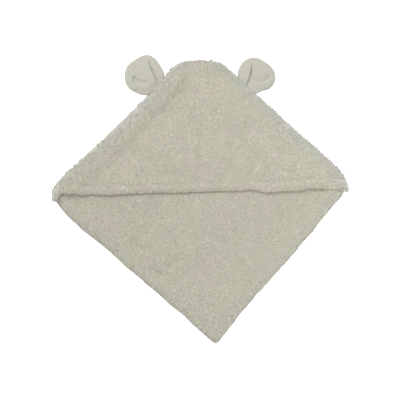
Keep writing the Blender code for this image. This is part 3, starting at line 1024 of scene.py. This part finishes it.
# %% Distances for the ears
def near_line(x, y, line):
    """Distance to a broken line, which side of it a point lies on, and how far along, 0 to 1."""
    best = np.full(len(x), 9.0)
    side, along = np.zeros(len(x)), np.zeros(len(x))
    line = np.array(line)
    for k in range(len(line) - 1):
        a, d = line[k], line[k + 1] - line[k]
        t = np.clip(((x - a[0]) * d[0] + (y - a[1]) * d[1]) / (d @ d), 0, 1)
        dx, dy = x - a[0] - t * d[0], y - a[1] - t * d[1]
        gap = np.hypot(dx, dy)
        closer = gap < best
        best = np.where(closer, gap, best)
        side = np.where(closer, np.sign(d[0] * dy - d[1] * dx), side)
        along = np.where(closer, (k + t) / (len(line) - 1), along)
    return best, side, along


edge_t = np.linspace(0, 1, 400)  # places along each of the hood's sewn edges
OUTLINE = np.concatenate([hood_edge(-1)(edge_t), hood_edge(1)(edge_t[::-1])])[:, :2]
MIDDLE = np.array((0.0, 0.12))


def outside(x, y):
    """Signed distance from the hood's outline, positive outside it."""
    gap = np.empty(len(x))
    for i, spot in enumerate(np.stack([x, y], -1)):
        k = int(np.argmin(((OUTLINE - spot) ** 2).sum(1)))
        a, b = OUTLINE[max(k - 2, 0)], OUTLINE[min(k + 2, len(OUTLINE) - 1)]
        normal = np.array((a[1] - b[1], b[0] - a[0]))
        normal = normal / max(np.linalg.norm(normal), 1e-9)
        if normal @ (OUTLINE[k] - MIDDLE) < 0:
            normal = -normal
        gap[i] = normal @ (spot - OUTLINE[k])
    return gap


print("outline:", len(OUTLINE), "points")

# %% [markdown]
# The disc is made flat and blown up with its base held, then moved to its place and turned
# outwards. The tuck is a step between a raised side and a sunk one, and the dent is a soft
# groove that fades along its line.

# %% Make the ears
def make_ear(side, facts):
    bpy.ops.object.select_all(action="DESELECT")
    bpy.ops.mesh.primitive_cylinder_add(vertices=56, radius=EAR_RADIUS, depth=0.0070)
    ear = bpy.context.object
    ear.name = ear.data.name = f"ear_{side}"
    disc = points_of(ear)
    angle = np.degrees(np.arctan2(-disc[:, 0], disc[:, 1]))
    disc[:, :2] *= ((facts["radius"] + humps(angle, facts["rim"])) / 35.2)[:, None]
    put_points(ear, disc)
    bpy.ops.object.mode_set(mode="EDIT")
    bpy.ops.mesh.select_all(action="SELECT")
    bpy.ops.mesh.bevel(offset=0.0024, segments=3)
    bpy.ops.mesh.select_all(action="SELECT")
    base_cut = (0, -EAR_OUT - 0.0050, 0)
    bpy.ops.mesh.bisect(plane_co=base_cut, plane_no=(0, -1, 0), clear_outer=True, use_fill=True)
    bpy.ops.object.mode_set(mode="OBJECT")
    only(ear)
    remesh = ear.modifiers.new("remesh", "REMESH")
    remesh.mode, remesh.voxel_size = "VOXEL", 0.0024
    bpy.ops.object.modifier_apply(modifier="remesh")
    before = points_of(ear)
    held = ear.vertex_groups.new(name="held")
    held.add([int(i) for i in np.flatnonzero(before[:, 1] < -0.0235)], 1.0, "REPLACE")
    puff = ear.modifiers.new("puff", "CLOTH")
    puff.settings.use_pressure = True
    puff.settings.uniform_pressure_force = 4
    puff.settings.effector_weights.gravity = 0
    puff.settings.vertex_group_mass = "held"
    puff.settings.tension_stiffness = 12
    puff.settings.bending_stiffness = 0.3
    puff.point_cache.frame_start, puff.point_cache.frame_end = 1, 20
    for step in range(1, 21):
        scene.frame_set(step)
    bpy.ops.object.modifier_apply(modifier="puff")
    scene.frame_set(1)
    moved = points_of(ear) - before
    far = np.linalg.norm(moved, axis=1, keepdims=True)
    put_points(ear, before + moved * np.minimum(1, 0.0035 / np.maximum(far, 1e-9)))
    ear.vertex_groups.clear()
    print(ear.name, "swelled by up to", round(float(far.max()) * 1000, 1), "mm")
    soften = ear.modifiers.new("finer", "SUBSURF")
    soften.levels = soften.render_levels = 2
    bpy.ops.object.modifier_apply(modifier="finer")

    local = points_of(ear)
    turn = math.radians(facts["outward"] - 90)
    base = np.array(facts["base"])
    forward = np.array((-math.sin(turn), math.cos(turn)))
    across = np.array((math.cos(turn), math.sin(turn)))
    x, y = base[:, None] + forward[:, None] * (local[:, 1] + EAR_OUT) + across[:, None] * local[:, 0]
    rise = np.clip(local[:, 2] / 0.0060, -1, 1)
    z = np.clip(local[:, 2], -EAR_HALF, EAR_HALF)
    top = ease(rise, -0.1, 0.5)
    gap, which, along = near_line(x, y, facts["tuck"])
    fade = ease(along, 0.0, 0.45)
    over = which < 0
    step = np.where(over, 0.0018 * np.exp(-gap / 0.010), -0.0026 * np.exp(-((gap / 0.0056) ** 2)))
    groove = -0.0005 * np.exp(-((gap / 0.0016) ** 2)) * along
    z = z + top * fade * (step + groove)
    gap, _, along = near_line(x, y, facts["dent"])
    z = z - top * facts["deep"] * np.exp(-((gap / 0.0036) ** 2)) * (1 - 0.55 * along)
    ruffle = waves(101 if side == "left" else 102, 0.008, 0.02)
    z = z + top * 0.00025 * ruffle(x, y)
    clear = outside(x, y)
    thin = 0.05 + 0.62 * ease(clear, -0.0008, 0.0004) + 0.33 * ease(clear, 0.0, 0.012)
    z = EAR_MIDDLE + z * thin
    put_points(ear, np.stack([x, y, settle(x, y, z)], -1))
    ear.data.materials.clear()
    ear.data.materials.append(velour)
    ear.data.shade_smooth()
    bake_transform(ear)
    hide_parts(*[f"ear_{side}_{part}" for part in ("front", "back", "wadding", "rim_seam", "root")])
    print(ear.name, len(ear.data.polygons), "faces")
    return ear


ears = [make_ear(side, facts) for side, facts in EARS.items()]

# %% [markdown]
# ## The care label and the hidden seams
# The label is a short strip of woven tape between the halves, seen only when the towel is
# opened. It is a small grid laid through the same map, so it keeps to the layer it lies on. The
# lines of stitching inside the layers keep their CAD shape and get thread.

# %% Label and seams
LABEL_U, LABEL_V = (0.120, 0.150), (0.328, 0.373)
LABEL_HEIGHT = 0.0099
label = cloth_grid("care_label_tape", rows((*LABEL_U, 20)), rows((*LABEL_V, 30)))
flat = points_of(label)
x, y = table(flat[:, 0], flat[:, 1])
wave = 0.00025 * np.sin((flat[:, 1] - LABEL_V[0]) * 230) * np.cos((flat[:, 0] - LABEL_U[0]) * 110)
put_points(label, np.stack([x, y, settle(x, y, np.full_like(x, LABEL_HEIGHT)) + wave], -1))
give_thickness(label, 0.0004)
label.data.materials.append(label_weave)
label.data.shade_smooth()
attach(label, "towel_back")
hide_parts("care_label")
for name in ("edge_stitching_front", "edge_stitching_back", "hood_seam_stitching"):
    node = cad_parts[name]
    node.data.materials.clear()
    node.data.materials.append(thread)
print("label:", len(label.data.polygons), "faces")
